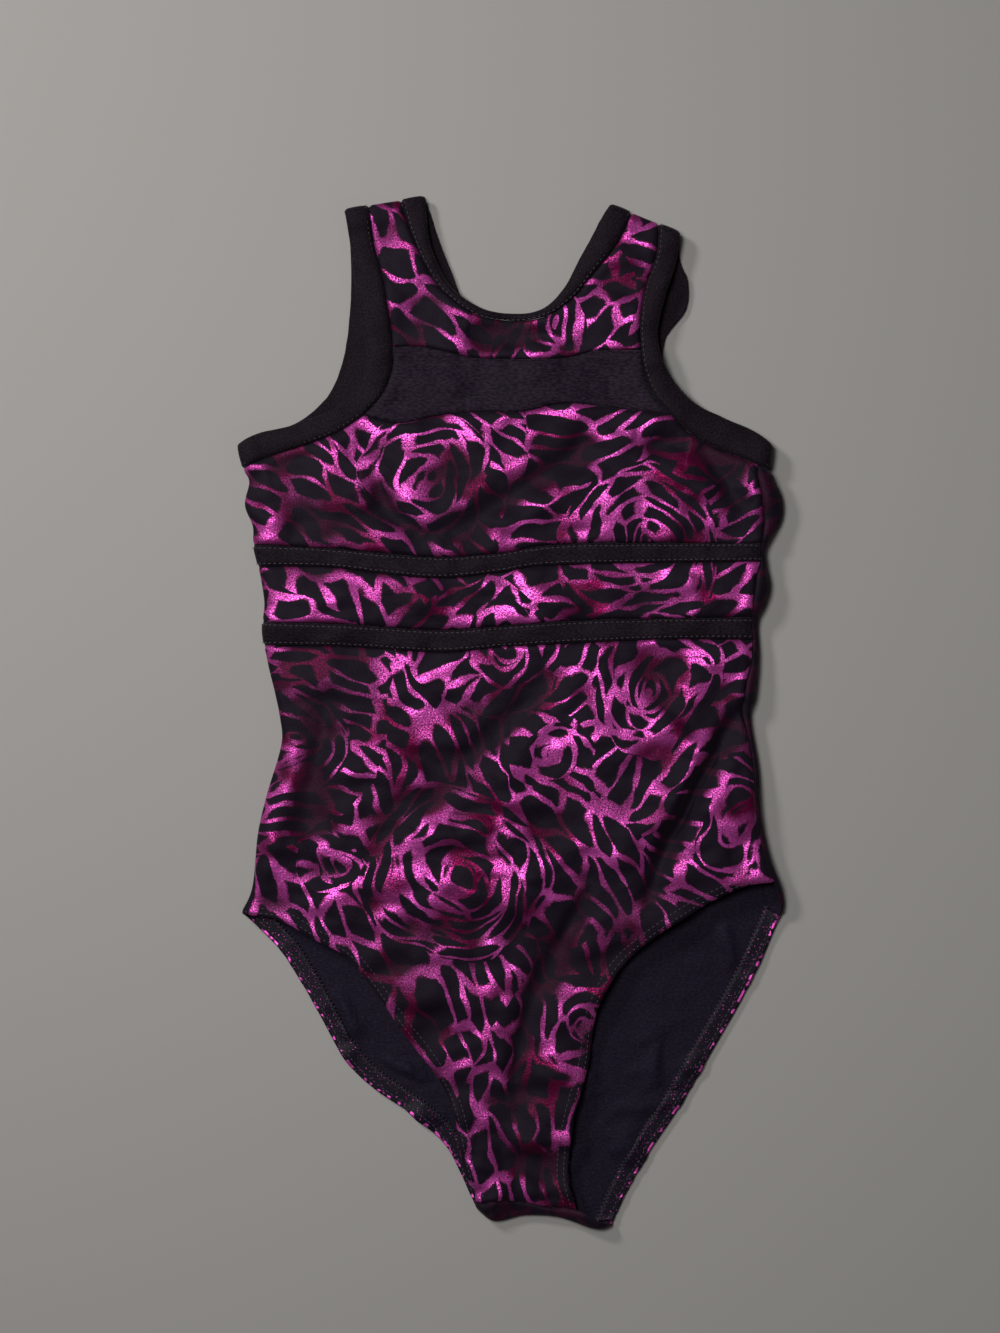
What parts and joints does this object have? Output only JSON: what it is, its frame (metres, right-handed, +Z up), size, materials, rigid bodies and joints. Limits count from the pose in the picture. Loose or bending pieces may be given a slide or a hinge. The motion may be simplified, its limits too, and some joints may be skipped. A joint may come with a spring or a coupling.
{
  "type": "leotard",
  "caption": "Child's sleeveless gymnastics leotard laid flat, with a printed front, plain insert, trim bands and bindings, and open legs.",
  "frame": {"origin": "centre of the garment's box in plan, on the surface it lies on", "axes": "+Y from the crotch to the shoulders, +X to the right of the garment as it lies, +Z up through its front"},
  "size_m": [0.286, 0.5402, 0.0151],
  "materials": {
    "printed_tricot": "near-black stretch tricot with a worn pink foil rose print",
    "plain_tricot": "matt black stretch tricot",
    "trim_band": "matt black trim band, stitched near both edges",
    "binding": "matt black folded binding",
    "leg_hem": "turned and stitched hem, wrong side out"
  },
  "bodies": {
    "root": {"front_yoke": "printed_tricot", "bust_panel": "printed_tricot", "midriff_panel": "printed_tricot", "brief_panel": "printed_tricot", "back_panel": "printed_tricot", "chest_insert": "plain_tricot", "upper_band": "trim_band", "lower_band": "trim_band", "neck_binding": "binding", "armhole_binding_left": "binding", "armhole_binding_right": "binding", "front_leg_hem_left": "leg_hem", "front_leg_hem_right": "leg_hem", "back_leg_hem_left": "leg_hem", "back_leg_hem_right": "leg_hem"}
  },
  "joints": []
}
